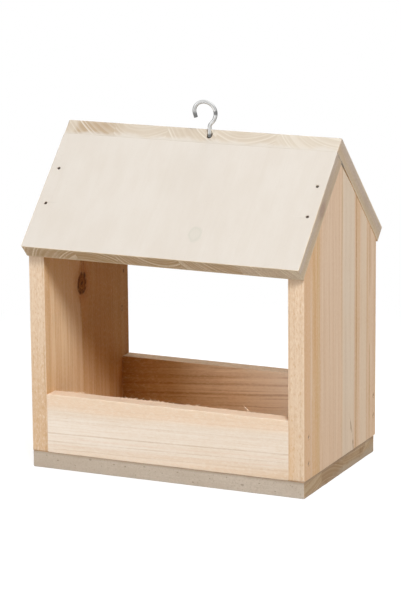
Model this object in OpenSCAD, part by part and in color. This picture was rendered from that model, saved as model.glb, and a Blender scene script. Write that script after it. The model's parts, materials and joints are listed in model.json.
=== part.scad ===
// House-shaped wooden bird feeder: seven nailed boards and a screw hook in the ridge.
// The front faces -Y, the ridge runs along X and the floor stands on z = 0.
// The ridge is a square butt joint, so both roof slopes are at 45 degrees.

/* [Boards] */
// Thickness of every board
board_t = 12; // [9:0.5:16]
// Clear width between the two gable walls
inner_w = 188; // [140:1:280]
// Depth of the gable walls, front to back
wall_d = 135; // [110:1:180]
// Height of the two rails above the floor
rail_h = 43; // [30:1:60]
// How far the floor stops short of the back of the walls
floor_back_inset = 2.5; // [0:0.5:6]

/* [Roof] */
// Height of the ridge above the underside of the floor
ridge_h = 243; // [210:1:300]
// How far each eave reaches past the wall, along the slope
eave_reach = 3.5; // [1:0.5:30]
// How far the roof boards stand past each gable wall
roof_side = 0.5; // [0:0.5:20]
// Drop of the gable tip below the back roof board
tip_gap = 0.8; // [0:0.1:1.5]
// Where that gap closes, measured back from the middle of the wall
tip_gap_run = 22; // [10:1:40]

/* [Nails] */
// Diameter of a nail's shank
nail_d = 1.4; // [1.2:0.1:2]
// Diameter of a nail's head
nail_head_d = 2.2; // [1.9:0.1:3]
// Height of a nail's head above its cone
nail_head_h = 0.6; // [0.4:0.1:1.2]
// Length of a nail, head to point
nail_len = 30; // [24:1:36]
// Depth of a nail's head below the wood's face
nail_set = 0.4; // [0.2:0.1:0.8]
// Gap between a nail and its hole, all round
nail_fit = 0.02; // [0.01:0.01:0.05]
// Length of a nail's point
nail_point = 2.8; // [2:0.1:4]
// Upper roof nails of the left wall, along the slope from the gable tip
left_nail_high = 30.5; // [20:0.5:45]
// Lower roof nails of the left wall, along the slope from the wall's edge
left_nail_low = 34.5; // [20:0.5:45]
// Upper roof nails of the right wall, along the slope from the gable tip
right_nail_high = 29.5; // [20:0.5:45]
// Lower roof nails of the right wall, along the slope from the wall's edge
right_nail_low = 40.5; // [20:0.5:45]
// Lower nails of the front rail, above the floor
front_rail_nail_low = 11.4; // [6:0.1:18]
// Upper nails of the front rail, below the rail's top
front_rail_nail_high = 12.7; // [6:0.1:18]
// Lower nails of the back rail, above the floor
back_rail_nail_low = 15.5; // [6:0.1:18]
// Upper nails of the back rail, below the rail's top
back_rail_nail_high = 12.5; // [6:0.1:18]
// Rail nails, towards the back from the middle of the rail's thickness
rail_nail_off = 2.2; // [-2.5:0.1:2.5]
// Floor nails, from the front and back edges of the walls
floor_nail_in = 27; // [15:1:40]
// Ridge nails, from the ends of the roof boards
ridge_nail_in = 46; // [25:1:70]

/* [Screw hook] */
// Diameter of the hook's wire
wire_d = 2.8; // [2.4:0.1:3.2]
// Inside diameter of the loop's half over the mouth
loop_d = 9.6; // [8:0.2:14]
// Inside diameter of the loop's half over the stem
back_d = 14.8; // [12:0.2:20]
// Radius of the bend below the loop
bend_r = 4; // [3:0.5:8]
// How far the loop's top lies to the left of the stem
loop_shift = 4.5; // [1:0.1:5]
// Height of the straight stem above the ridge
stem_rise = 2.05; // [1:0.05:12]
// Angle round the loop at which the wire runs out straight
loop_end = 195; // [180:1:215]
// Length of the straight end
end_len = 3.1; // [1:0.1:5]
// Turn of the hook from the line of the ridge
hook_turn = 25; // [-90:1:90]
// Place of the hook along the ridge, from the middle
hook_x = 7; // [-40:0.5:40]
// Place of the hook across the ridge strip, from the strip's middle towards the ridge
hook_off = 1; // [0:0.1:1.6]
// Height of the screw thread above the wire's surface
thread_h = 0.55; // [0.3:0.05:0.7]
// Depth of the thread's root below the wire's surface
thread_cut = 0.15; // [0.05:0.05:0.3]
// Rise of the thread in one turn
thread_pitch = 1.5; // [1.2:0.1:2]
// Depth of the thread's upper end below the wood's face
thread_sink = 0.3; // [0.1:0.1:1]
// Length of the screw's tapered point
screw_taper = 4.4; // [3:0.1:6]
// Diameter of the screw's blunt end
screw_end_d = 0.8; // [0.4:0.1:1.2]
// Wood left below the screw's point
point_cover = 2.1; // [1.8:0.1:4]
// Gap between the thread and its hole, all round
thread_fit = 0.05; // [0.02:0.01:0.08]

/* [Hidden] */
$fn = 64;
half = sqrt(0.5);
over = 1;
left = -1;
right = 1;
outer_w = inner_w + 2 * board_t;
roof_w = outer_w + 2 * roof_side;
wall_half = wall_d / 2;
tip_h = ridge_h - board_t / half;
shoulder_h = tip_h - wall_half;
wall_slope = wall_half / half;
slope_len = board_t + wall_slope + eave_reach;
wall_mid_x = inner_w / 2 + board_t / 2;
nail_r = nail_d / 2;
nail_head_r = nail_head_d / 2;
head_cone = nail_head_r - nail_r;
wire_r = wire_d / 2;
loop_r = loop_d / 2 + wire_r;
back_r = back_d / 2 + wire_r;
bend_deg = acos((bend_r + loop_shift) / (bend_r + back_r));
bend_z = ridge_h + stem_rise;
back_z = bend_z + (bend_r + back_r) * sin(bend_deg);
loop_top = back_z + back_r;
loop_z = loop_top - loop_r;
wire_tip = 0.4;
join_len = 0.6;
join_over = 0.05;
hook_y = -(board_t / 2 - hook_off) * half;
mouth_z = ridge_h + hook_y;
stem_z = mouth_z - thread_sink;
point_z = mouth_z - board_t / half + point_cover;
screw_len = stem_z - point_z;
screw_end_r = screw_end_d / 2;
thread_r = wire_r + thread_h;
root_r = wire_r - thread_cut;
thread_seg = 16;
thread_steps = floor(screw_len / thread_pitch * thread_seg);

// Frames: each roof slope has its origin on the ridge, y up the slope and z out of the wood.

module front_slope() {
    translate([0, 0, ridge_h])
        rotate([45, 0, 0])
            children();
}

module back_slope() {
    mirror([0, 1, 0])
        front_slope()
            children();
}

// Nails: one nail hangs from its head's face at z = 0, and its hole goes on up past the wood's face.

module nail() {
    rotate_extrude()
        polygon([
            [0, 0],
            [nail_head_r, 0],
            [nail_head_r, -nail_head_h],
            [nail_r, -nail_head_h - head_cone],
            [nail_r, -nail_len + nail_point],
            [0, -nail_len]
        ]);
}

module nail_hole() {
    rotate_extrude()
        polygon([
            [0, nail_set + over],
            [nail_head_r + nail_fit, nail_set + over],
            [nail_head_r + nail_fit, -nail_head_h],
            [nail_r + nail_fit, -nail_head_h - head_cone],
            [nail_r + nail_fit, -nail_len + nail_point],
            [0, -nail_len - 4 * nail_fit]
        ]);
}

module at_roof_nails(side) {
    high = side == left ? left_nail_high : right_nail_high;
    low = side == left ? left_nail_low : right_nail_low;
    for (down = [high, wall_slope - low])
        translate([side * wall_mid_x, -board_t - down, -nail_set])
            children();
}

module at_ridge_nails() {
    for (side = [left, right])
        translate([side * (roof_w / 2 - ridge_nail_in), -board_t / 2, -nail_set])
            children();
}

module at_rail_nails(side, y, low, high) {
    for (up = [low, rail_h - high])
        translate([side * (outer_w / 2 - nail_set), y, board_t + up])
            rotate([0, side * 90, 0])
                children();
}

module at_front_rail_nails(side) {
    y = -wall_half + board_t / 2 + rail_nail_off;
    at_rail_nails(side, y, front_rail_nail_low, front_rail_nail_high)
        children();
}

module at_back_rail_nails(side) {
    y = wall_half - board_t / 2 + rail_nail_off;
    at_rail_nails(side, y, back_rail_nail_low, back_rail_nail_high)
        children();
}

module at_floor_nails(side) {
    for (end = [-1, 1])
        translate([side * wall_mid_x, end * (wall_half - floor_nail_in), nail_set])
            rotate([180, 0, 0])
                children();
}

// Boards

module floor_board() {
    color([0.68, 0.62, 0.55])
        difference() {
            translate([-outer_w / 2, -wall_half, 0])
                cube([outer_w, wall_d - floor_back_inset, board_t]);
            for (side = [left, right])
                at_floor_nails(side) nail_hole();
        }
}

module wall_outline() {
    polygon([
        [-wall_half, board_t],
        [wall_half, board_t],
        [wall_half, shoulder_h],
        [tip_gap_run, tip_h - tip_gap_run],
        [-tip_gap, tip_h - tip_gap],
        [-wall_half, shoulder_h]
    ]);
}

module wall(side) {
    color([0.85, 0.72, 0.55])
        difference() {
            translate([side * wall_mid_x - board_t / 2, 0, 0])
                rotate([90, 0, 90])
                    linear_extrude(board_t)
                        wall_outline();
            front_slope() at_roof_nails(side) nail_hole();
            back_slope() at_roof_nails(side) nail_hole();
            at_front_rail_nails(side) nail_hole();
            at_back_rail_nails(side) nail_hole();
            at_floor_nails(side) nail_hole();
        }
}

module left_wall() {
    wall(left);
}

module right_wall() {
    wall(right);
}

module front_rail() {
    color([0.9, 0.82, 0.7])
        difference() {
            translate([-inner_w / 2, -wall_half, board_t])
                cube([inner_w, board_t, rail_h]);
            for (side = [left, right])
                at_front_rail_nails(side) nail_hole();
        }
}

module back_rail() {
    color([0.9, 0.82, 0.7])
        difference() {
            translate([-inner_w / 2, wall_half - board_t, board_t])
                cube([inner_w, board_t, rail_h]);
            for (side = [left, right])
                at_back_rail_nails(side) nail_hole();
        }
}

module front_roof_board() {
    color([0.92, 0.88, 0.82])
        difference() {
            front_slope()
                translate([-roof_w / 2, -slope_len, -board_t])
                    cube([roof_w, slope_len - board_t, board_t]);
            for (side = [left, right])
                front_slope() at_roof_nails(side) nail_hole();
            back_slope() at_ridge_nails() nail_hole();
            hook_hole();
        }
}

module back_roof_board() {
    color([0.92, 0.88, 0.82])
        difference() {
            back_slope()
                translate([-roof_w / 2, -slope_len, -board_t])
                    cube([roof_w, slope_len, board_t]);
            for (side = [left, right])
                back_slope() at_roof_nails(side) nail_hole();
            back_slope() at_ridge_nails() nail_hole();
            hook_hole();
        }
}

// Screw hook: drawn about its own stem, with z from the underside of the floor.

module at_hook() {
    translate([hook_x, hook_y, 0])
        rotate([0, 0, hook_turn])
            children();
}

module hook_hole() {
    bore_r = thread_r + thread_fit;
    at_hook()
        rotate_extrude()
            polygon([
                [0, ridge_h + over],
                [bore_r, ridge_h + over],
                [bore_r, point_z + screw_taper],
                [screw_end_r + thread_fit, point_z - thread_fit],
                [0, point_z - thread_fit]
            ]);
}

module wire_arc(x, z, r, from, sweep) {
    translate([x, 0, z])
        rotate([90, 0, 0])
            rotate([0, 0, from])
                rotate_extrude(angle = sweep)
                    translate([r, 0])
                        circle(wire_r);
}

// A short sleeve, a hair wider than the wire, makes two stretches that meet end to end one solid.

module wire_join(x, z, lean) {
    translate([x, 0, z])
        rotate([0, lean, 0])
            cylinder(h = join_len, r = wire_r + join_over, center = true);
}

module wire_end() {
    translate([loop_r * cos(loop_end) - loop_shift, 0, loop_z + loop_r * sin(loop_end)])
        rotate([0, -loop_end, 0]) {
            cylinder(h = end_len, r = wire_r);
            cylinder(h = join_len, r = wire_r + join_over, center = true);
            translate([0, 0, end_len - wire_tip])
                cylinder(h = 2 * wire_tip, r1 = wire_r - join_over, r2 = wire_r - wire_tip);
        }
}

// The thread is a strip wound round the stem: step n has a root point and a crest half a pitch above it.

function taper(z) = (screw_end_r + (thread_r - screw_end_r) * min(1, z / screw_taper)) / thread_r;
function fade(z) = max(0, min(1, (screw_len - thread_pitch / 4 - z) / thread_pitch));
function ring_point(n, r, z) = [r * cos(360 * n / thread_seg), r * sin(360 * n / thread_seg), z];
function root_point(n) =
    let (z = thread_pitch * n / thread_seg)
    ring_point(n, root_r * taper(z), z);
function crest_point(n) =
    let (z = thread_pitch * (n / thread_seg + 0.5))
    ring_point(n, (root_r + (thread_r - root_r) * fade(z)) * taper(z), z);

module screw() {
    last = thread_steps;
    top = last + thread_seg;
    points = concat(
        [[0, 0, 0], [0, 0, thread_pitch * top / thread_seg]],
        [for (n = [0:top]) root_point(n)],
        [for (n = [0:last]) crest_point(n)]
    );
    root = 2;
    crest = root + top + 1;
    next = thread_seg;
    faces = concat(
        [for (n = [0:last - 1]) [root + n, crest + n, root + n + 1]],
        [for (n = [0:last - 1]) [root + n + 1, crest + n, crest + n + 1]],
        [for (n = [0:last - 1]) [crest + n, root + next + n, crest + n + 1]],
        [for (n = [0:last - 1]) [crest + n + 1, root + next + n, root + next + n + 1]],
        [for (n = [0:next - 1]) [0, root + n, root + n + 1]],
        [[0, root + next, crest], [0, crest, root]],
        [for (n = [last:top - 1]) [1, root + n + 1, root + n]],
        [[1, crest + last, root + top], [1, root + last, crest + last]]
    );
    translate([0, 0, point_z])
        polyhedron(points, faces);
}

module screw_hook() {
    color([0.75, 0.76, 0.78])
        at_hook() {
            screw();
            translate([0, 0, stem_z])
                cylinder(h = bend_z - stem_z, r = wire_r);
            wire_join(0, bend_z, 0);
            wire_arc(bend_r, bend_z, bend_r, 180 - bend_deg, bend_deg);
            wire_join(bend_r * (1 - cos(bend_deg)), bend_z + bend_r * sin(bend_deg), bend_deg);
            wire_arc(-loop_shift, back_z, back_r, -bend_deg, bend_deg + 90);
            wire_join(-loop_shift, loop_top, 90);
            wire_arc(-loop_shift, loop_z, loop_r, 90, loop_end - 90);
            wire_end();
        }
}

// Nail groups

module nail_steel() {
    color([0.35, 0.34, 0.33])
        children();
}

module front_roof_nails_left() {
    nail_steel() front_slope() at_roof_nails(left) nail();
}

module front_roof_nails_right() {
    nail_steel() front_slope() at_roof_nails(right) nail();
}

module back_roof_nails_left() {
    nail_steel() back_slope() at_roof_nails(left) nail();
}

module back_roof_nails_right() {
    nail_steel() back_slope() at_roof_nails(right) nail();
}

module ridge_nails() {
    nail_steel() back_slope() at_ridge_nails() nail();
}

module front_rail_nails_left() {
    nail_steel() at_front_rail_nails(left) nail();
}

module front_rail_nails_right() {
    nail_steel() at_front_rail_nails(right) nail();
}

module back_rail_nails_left() {
    nail_steel() at_back_rail_nails(left) nail();
}

module back_rail_nails_right() {
    nail_steel() at_back_rail_nails(right) nail();
}

module floor_nails_left() {
    nail_steel() at_floor_nails(left) nail();
}

module floor_nails_right() {
    nail_steel() at_floor_nails(right) nail();
}

floor_board();
left_wall();
right_wall();
front_rail();
back_rail();
front_roof_board();
back_roof_board();
screw_hook();
front_roof_nails_left();
front_roof_nails_right();
back_roof_nails_left();
back_roof_nails_right();
ridge_nails();
front_rail_nails_left();
front_rail_nails_right();
back_rail_nails_left();
back_rail_nails_right();
floor_nails_left();
floor_nails_right();
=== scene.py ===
# House-shaped wooden bird feeder: seven nailed boards, their nails and a screw hook in the ridge.
import json
import math

import bpy
import numpy as np
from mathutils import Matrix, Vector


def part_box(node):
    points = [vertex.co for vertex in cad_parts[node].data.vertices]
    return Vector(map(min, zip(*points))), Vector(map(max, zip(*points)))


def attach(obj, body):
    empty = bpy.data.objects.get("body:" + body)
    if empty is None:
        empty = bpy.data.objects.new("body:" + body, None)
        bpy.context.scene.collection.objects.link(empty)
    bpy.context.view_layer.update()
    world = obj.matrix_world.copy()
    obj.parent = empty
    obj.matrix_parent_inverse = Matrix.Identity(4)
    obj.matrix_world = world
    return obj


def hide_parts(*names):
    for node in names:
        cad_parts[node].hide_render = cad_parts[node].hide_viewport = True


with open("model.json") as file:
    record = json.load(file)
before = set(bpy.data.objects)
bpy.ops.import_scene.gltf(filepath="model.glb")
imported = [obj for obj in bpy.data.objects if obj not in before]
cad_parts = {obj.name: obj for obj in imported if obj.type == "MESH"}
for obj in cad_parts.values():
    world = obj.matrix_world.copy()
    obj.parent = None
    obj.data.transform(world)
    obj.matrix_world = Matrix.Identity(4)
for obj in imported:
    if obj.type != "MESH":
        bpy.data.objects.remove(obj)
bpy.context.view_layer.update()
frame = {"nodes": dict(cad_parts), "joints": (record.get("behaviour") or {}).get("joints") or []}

# Floor board
# Glued up from pale staves with the grain from gable to gable, sawn square and washed with a grey-brown
# stain. It carries the walls and rails, and is nailed up into the walls from below.
MM = 0.001
ACROSS_X, ACROSS_Y, UPRIGHT = np.eye(3)
SHARP = math.radians(32)


def sway(turn, seed, lobes):
    """Smooth closed noise round an outline: a sum of sines with whole counts of waves and seeded phases."""
    rng = np.random.default_rng(seed)
    waves = np.arange(1, lobes + 1)
    phase = rng.uniform(0, 2 * np.pi, lobes)
    height = rng.normal(0, 1, lobes) / np.sqrt(lobes)
    return (height * np.sin(2 * np.pi * np.outer(turn, waves) + phase)).sum(1)


def outline_of(corners, corner_r, step):
    """Walks round a convex outline: straight runs in even steps, and each corner as an arc of corner_r.

    A corner's arc has its middle where the two edges, both moved in by corner_r, would cross.
    Gives the points and the outward normal at each of them.
    """
    corners = np.asarray(corners, float)
    edge = np.roll(corners, -1, 0) - corners
    run = edge / np.linalg.norm(edge, axis=1)[:, None]
    leaving = np.stack([run[:, 1], -run[:, 0]], 1)
    arriving = np.roll(leaving, 1, 0)
    share = 1 + (leaving * arriving).sum(1)[:, None]
    middle = corners - corner_r * (leaving + arriving) / share
    turn = np.linspace(0, 1, 6)[:, None]
    points, normals = [], []
    for k in range(len(corners)):
        arc = (1 - turn) * arriving[k] + turn * leaving[k]
        arc /= np.linalg.norm(arc, axis=1)[:, None]
        start = middle[k] + corner_r * leaving[k]
        end = middle[(k + 1) % len(corners)] + corner_r * leaving[k]
        count = max(2, int(np.linalg.norm(end - start) / step))
        along = np.arange(1, count)[:, None] / count
        points += [middle[k] + corner_r * arc, start + along * (end - start)]
        normals += [arc, np.repeat(leaving[k][None], count - 1, 0)]
    return np.concatenate(points), np.concatenate(normals)


def rectangle(left, low, right, high):
    """Corners of a rectangle, from the lower left one round."""
    return [(left, low), (right, low), (right, high), (left, high)]


def placed(name, data):
    """Puts a new object with this data into the scene at the origin."""
    made = bpy.data.objects.new(name, data)
    bpy.context.scene.collection.objects.link(made)
    return made


def piece_from(name, points, quads, tris):
    """Puts whole arrays of points and faces into a new mesh object at the origin, shaded smooth."""
    mesh = bpy.data.meshes.new(name)
    mesh.from_pydata(points.tolist(), [], quads.tolist() + tris.tolist())
    mesh.validate()
    mesh.shade_smooth()
    return placed(name, mesh)


def closed_grid(rings, around):
    """Faces of a grid of rings with a pole before the first and after the last ring, all facing out."""
    ring, step = np.meshgrid(np.arange(rings - 1), np.arange(around), indexing="ij")
    ahead = (step + 1) % around
    quads = np.stack([ring * around + step, ring * around + ahead,
                      (ring + 1) * around + ahead, (ring + 1) * around + step], -1).reshape(-1, 4)
    step = np.arange(around)
    ahead = (step + 1) % around
    first, last = rings * around, rings * around + 1
    top = (rings - 1) * around
    tris = np.concatenate([np.stack([np.full(around, first), ahead, step], 1),
                           np.stack([top + step, top + ahead, np.full(around, last)], 1)])
    return quads, tris


def board(name, corners, thick, origin, axes, ease, seed):
    """A sawn board as one closed surface of two parameters.

    The first parameter walks round the outline. The second is a profile carried round it: from the middle
    of the lower face out to the rim, a quarter arc over the arris, across the edge, which is planed a hair
    hollow, a second arc, and back to the middle of the upper face. The arc's radius swells and shrinks
    along the arris by seeded sines, with a few small chips, which is the sanding and handling.
    """
    corner_r = 0.9 * MM
    step = 1.6 * MM
    chips = 7
    line, normal = outline_of(corners, corner_r, step)
    turn = np.linspace(0, 1, len(line), endpoint=False)
    rng = np.random.default_rng(seed)
    arris = []
    for side in (1, 2):
        radius = ease * (1 + 0.28 * sway(turn, 10 * seed + side, 60))
        for chip in range(chips):
            away = np.abs((turn - rng.uniform() + 0.5) % 1 - 0.5)
            deep = rng.uniform(0.1, 0.45) * ease
            radius += deep * np.exp(-(away / rng.uniform(0.0015, 0.004)) ** 2)
        arris.append(np.clip(radius, 0.35 * ease, 0.95 * corner_r))
    hollow = 0.05 * MM * (1 + np.clip(sway(turn, 10 * seed + 3, 24), -1, 1))
    bend = np.radians([0, 22.5, 45, 67.5, 90])[:, None]
    lower = arris[0] * (1 - np.sin(bend)), arris[0] * (1 - np.cos(bend))
    upper = arris[1] * (1 - np.cos(bend)), thick - arris[1] * (1 - np.sin(bend))
    climb = np.linspace(0, 1, 7)[1:-1, None]
    edge = hollow * np.sin(np.pi * climb), lower[1][-1] + climb * (upper[1][0] - lower[1][-1])
    rim = 0.3 * MM
    inset = np.concatenate([arris[0][None] + rim, lower[0], edge[0], upper[0], arris[1][None] + rim])
    height = np.concatenate([0 * turn[None], lower[1], edge[1], upper[1], thick + 0 * turn[None]])
    flat = line - inset[..., None] * normal
    middle = np.mean(np.asarray(corners, float), 0)
    shrink = np.array([0.2, 0.5, 0.8, 0.97])[:, None, None]
    flat = np.concatenate([middle + shrink * (flat[0] - middle), flat,
                           middle + shrink[::-1] * (flat[-1] - middle)])
    level = np.zeros((len(shrink), len(line)))
    height = np.concatenate([level, height, level + thick])
    worn = np.zeros(height.shape)
    first = len(shrink) + 1
    for start in (first, first + len(bend) + len(climb)):
        worn[start:start + len(bend)] = 1
    rings = len(height)
    flat = np.concatenate([flat.reshape(-1, 2), [middle, middle]])
    height = np.concatenate([height.ravel(), [0, thick]])
    points = origin + flat[:, :1] * axes[0] + flat[:, 1:] * axes[1] + height[:, None] * axes[2]
    made = piece_from(name, points, *closed_grid(rings, len(line)))
    arrises = made.data.attributes.new("arris", "FLOAT", "POINT")
    arrises.data.foreach_set("value", np.concatenate([worn.ravel(), [0, 0]]).astype(np.float32))
    return made


def heads(node, out, along):
    """Middles of a CAD node's two nail heads: its points that lie furthest out, in two clumps along a row."""
    mesh = frame["nodes"][node].data
    points = np.empty(3 * len(mesh.vertices))
    mesh.vertices.foreach_get("co", points)
    points = points.reshape(-1, 3)
    depth = points @ out
    top = points[depth > depth.max() - 0.01 * MM]
    place = top @ along
    near = place < (place.min() + place.max()) / 2
    return [(clump.min(0) + clump.max(0)) / 2 for clump in (top[near], top[~near])]


def turned(radius, height, middle, axis, ragged, seed):
    """A closed lathe form: each radius carried round the axis, made ragged by three and five waves."""
    side = np.cross(axis, ACROSS_X if abs(axis[0]) < 0.9 else UPRIGHT)
    side /= np.linalg.norm(side)
    other = np.cross(axis, side)
    angle = np.linspace(0, 2 * np.pi, 28, endpoint=False)
    rng = np.random.default_rng(seed)
    uneven = np.sin(3 * angle + rng.uniform(0, 6)) + np.sin(5 * angle + rng.uniform(0, 6))
    reach = np.asarray(radius)[:, None] * (1 + np.asarray(ragged)[:, None] * uneven)
    points = (reach * np.cos(angle))[..., None] * side + (reach * np.sin(angle))[..., None] * other
    points = middle + points + np.asarray(height)[:, None, None] * axis
    poles = middle + np.array([height[0], height[-1]])[:, None] * axis
    quads, tris = closed_grid(len(radius), len(angle))
    return np.concatenate([points.reshape(-1, 3), poles]), quads, tris


def cut_out(piece, forms):
    """Cuts closed forms out of a piece for good, and marks the new sharp edges."""
    count = np.cumsum([0] + [len(form[0]) for form in forms])
    tool = piece_from("cutter", np.concatenate([form[0] for form in forms]),
                      np.concatenate([form[1] + n for form, n in zip(forms, count)]),
                      np.concatenate([form[2] + n for form, n in zip(forms, count)]))
    cut = piece.modifiers.new("cut", "BOOLEAN")
    cut.operation = "DIFFERENCE"
    cut.solver = "EXACT"
    cut.object = tool
    made = piece.evaluated_get(bpy.context.evaluated_depsgraph_get())
    mesh = bpy.data.meshes.new_from_object(made)
    piece.modifiers.clear()
    piece.data = mesh
    bpy.data.objects.remove(tool)
    mesh.shade_smooth()
    mesh.set_sharp_from_angle(angle=SHARP)


def nail_pits(node, out, along, seed):
    """Pits over nail heads that are sunk 0.4 mm: a crushed rim at the face, then a straight wall down past
    the head. Heights are from the top of the head."""
    height = np.array([1.9, 0.4, 0.15, -1.1]) * MM
    radius = np.array([1.62, 1.42, 1.14, 1.13]) * MM
    ragged = [0.08, 0.08, 0.01, 0]
    return [turned(radius[::-1], height[::-1], middle, out, ragged[::-1], seed + k)
            for k, middle in enumerate(heads(node, out, along))]


def paint(red, green, blue):
    """A colour as it is picked on a screen, 0 to 255, as the linear value that a shader takes."""
    share = np.array([red, green, blue]) / 255
    linear = np.where(share > 0.04045, ((share + 0.055) / 1.055) ** 2.4, share / 12.92)
    return (*linear.tolist(), 1.0)


class Value:
    """One result in a node tree, a mask, number, colour or vector, that can be worked with like a number:
    every step adds a node to its tree."""

    def __init__(self, socket):
        self.socket = socket
        self.tree = socket.id_data

    def step(self, operation, *terms):
        """One step of arithmetic, on vectors if this is a vector or a colour."""
        kind = "Math" if self.socket.type == "VALUE" else "VectorMath"
        return node(self.tree, kind, dict(enumerate((self, *terms))), operation=operation)[0]

    def __add__(self, other):
        return self.step("ADD", other)

    def __sub__(self, other):
        return self.step("SUBTRACT", other)

    def __rsub__(self, other):
        return node(self.tree, "Math", {0: other, 1: self}, operation="SUBTRACT")[0]

    def __mul__(self, other):
        return self.step("MULTIPLY", other)

    def __truediv__(self, other):
        return self.step("DIVIDE", other)

    def __pow__(self, other):
        return self.step("POWER", other)

    def __abs__(self):
        return self.step("ABSOLUTE")

    def __or__(self, other):
        """Two masks joined: the larger of them."""
        return self.step("MAXIMUM", other)

    def length(self):
        """The length of a vector."""
        return node(self.tree, "VectorMath", {0: self}, operation="LENGTH")[1]

    def dot(self, other):
        """How far a vector runs along another."""
        return node(self.tree, "VectorMath", {0: self, 1: other}, operation="DOT_PRODUCT")[1]

    def axis(self, name):
        """One coordinate of a place: X along the grain, Y across it, Z through the board."""
        return node(self.tree, "SeparateXYZ", {0: self})[name]

    def fade(self, low, high, start=0.0, end=1.0):
        """A soft step: start below low, end above high."""
        return node(self.tree, "MapRange", {"Value": self, "From Min": low, "From Max": high, "To Min": start,
                                            "To Max": end}, interpolation_type="SMOOTHSTEP")[0]

    def fade_out(self, low, high):
        """A soft step down: one below low, nothing above high."""
        return self.fade(low, high, 1.0, 0.0)

    def noise(self, scale):
        """Noise along one value."""
        feeds = {"W": self, "Scale": scale, "Detail": 1.0}
        return node(self.tree, "TexNoise", feeds, noise_dimensions="1D")[0]

    def cloud(self, stretch, detail=2.0, rough=0.5):
        """Noise with as many cells to the millimetre along each axis as stretch says; result 0 is its value
        and result 1 its colour."""
        return node(self.tree, "TexNoise", {"Vector": self * stretch, "Scale": 1.0, "Detail": detail,
                                            "Roughness": rough})


class Node:
    """A shader node whose results are values, by number or name."""

    def __init__(self, made):
        self.made = made

    def __getitem__(self, key):
        return Value(self.made.outputs[key])


def feed(tree, socket, value):
    """Links a socket to another node's result, or sets it to a plain value."""
    if isinstance(value, Value):
        tree.links.new(value.socket, socket)
    else:
        socket.default_value = value


def node(tree, kind, feeds, **settings):
    """Adds a shader node with its settings and fed inputs."""
    made = tree.nodes.new("ShaderNode" + kind)
    for name, value in settings.items():
        setattr(made, name, value)
    for name, value in feeds.items():
        feed(tree, made.inputs[name], value)
    return Node(made)


def joined(tree, x=0.0, y=0.0, z=0.0):
    """Three values as one vector."""
    return node(tree, "CombineXYZ", {"X": x, "Y": y, "Z": z})[0]


def mixed(share, first, second):
    """One colour laid over another by a share."""
    return node(share.tree, "Mix", {0: share, 6: first, 7: second}, data_type="RGBA")[2]


def new_group(name, takes, gives):
    """Starts a node group with named sockets; gives the group, what it takes in and where its results go."""
    group = bpy.data.node_groups.new(name, "ShaderNodeTree")
    for label, start in takes.items():
        kind = "NodeSocketVector" if isinstance(start, tuple) else "NodeSocketFloat"
        group.interface.new_socket(label, in_out="INPUT", socket_type=kind).default_value = start
    for label in gives:
        group.interface.new_socket(label, in_out="OUTPUT", socket_type="NodeSocketFloat")
    return group, Node(group.nodes.new("NodeGroupInput")), group.nodes.new("NodeGroupOutput").inputs


def use(group, **feeds):
    """Lays a node group in a place's tree with its own values; underscores in a name stand for spaces."""
    named = {name.replace("_", " "): value for name, value in feeds.items()}
    return node(feeds["Place"].tree, "Group", named, node_tree=group)


# Growth rings in millimetres, round a heart on the grain axis X: the late wood of each year rises slowly and
# stops short, each year has its own strength, and the heart wanders along the trunk.
growth_rings, given, result = new_group(
    "growth_rings",
    {"Place": (0, 0, 0), "Heart": (0, 0, 0), "Ring width": 2.5, "Wander": 2.0, "Seed": 0.0},
    ["Late", "Vein", "Fibre", "Pore", "Tone"])
tree = growth_rings
spot = given["Place"] + joined(tree, given["Seed"], given["Seed"], given["Seed"]) * (37, 11, 23)
drift = spot.cloud((0.007, 0.02, 0.02), 1.0)[1] - (0.5, 0.5, 0.5)
pull = joined(tree, 0.0, given["Wander"], given["Wander"]) * (0, 4, 4)
trunk = (drift * pull + (given["Place"] - given["Heart"])) * (0, 1, 1)
years = trunk.length() / given["Ring width"]
uneven = (years + given["Seed"]).noise(0.4)
years = uneven * 1.6 + years
season = years.step("FRACT")
late = season.fade(0.35, 0.9) * season.fade_out(0.93, 1.0)
year = years.step("FLOOR") + given["Seed"]
vigour = node(tree, "TexWhiteNoise", {"W": year}, noise_dimensions="1D")["Value"]
feed(tree, result["Late"], late * vigour.fade(0, 1, 0.2, 1.0))
feed(tree, result["Vein"], spot.cloud((0.004, 0.2, 0.2), 3.0, 0.6)[0])
feed(tree, result["Fibre"], spot.cloud((0.03, 1.5, 1.5), 3.0, 0.6)[0])
pore = spot.cloud((0.07, 1.9, 1.9), 1.0)[0]
feed(tree, result["Pore"], pore.fade(0.66, 0.76))
feed(tree, result["Tone"], spot.cloud((0.006, 0.05, 0.05), 2.0)[0])


def emptied(made):
    """Gives the node tree of a new material or world, with nothing in it."""
    made.use_nodes = True
    made.node_tree.nodes.clear()
    return made.node_tree


def material(name):
    """Starts a material; gives it and its empty node tree."""
    made = bpy.data.materials.new(name)
    return made, emptied(made)


def millimetres(tree, turn=(0, 0, 0), deep=0.0):
    """Object coordinates in millimetres, turned by degrees about each axis and moved so that deep lies at
    zero."""
    at = node(tree, "TexCoord", {})["Object"]
    return node(tree, "Mapping", {"Vector": at, "Rotation": np.radians(turn).tolist(),
                                  "Location": (0, 0, -deep), "Scale": (1000, 1000, 1000)})[0]


def timber(name, turn, deep=0.0):
    """Starts a timber material; gives its tree and its place in millimetres, where X runs along the grain and
    Z through the board, with zero at deep."""
    made, tree = material(name)
    return made, tree, millimetres(tree, turn, deep)


def turned_to(tree, axis):
    """How squarely the surface looks along an axis of the object, from 0 to 1."""
    normal = node(tree, "TexCoord", {})["Normal"]
    return normal.dot(tuple(axis)).fade(0.6, 0.85)


def facing(tree, axis):
    """The same for both sides of a board, the one along the axis and the one behind it."""
    return turned_to(tree, axis) | turned_to(tree, -np.asarray(axis))


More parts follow.
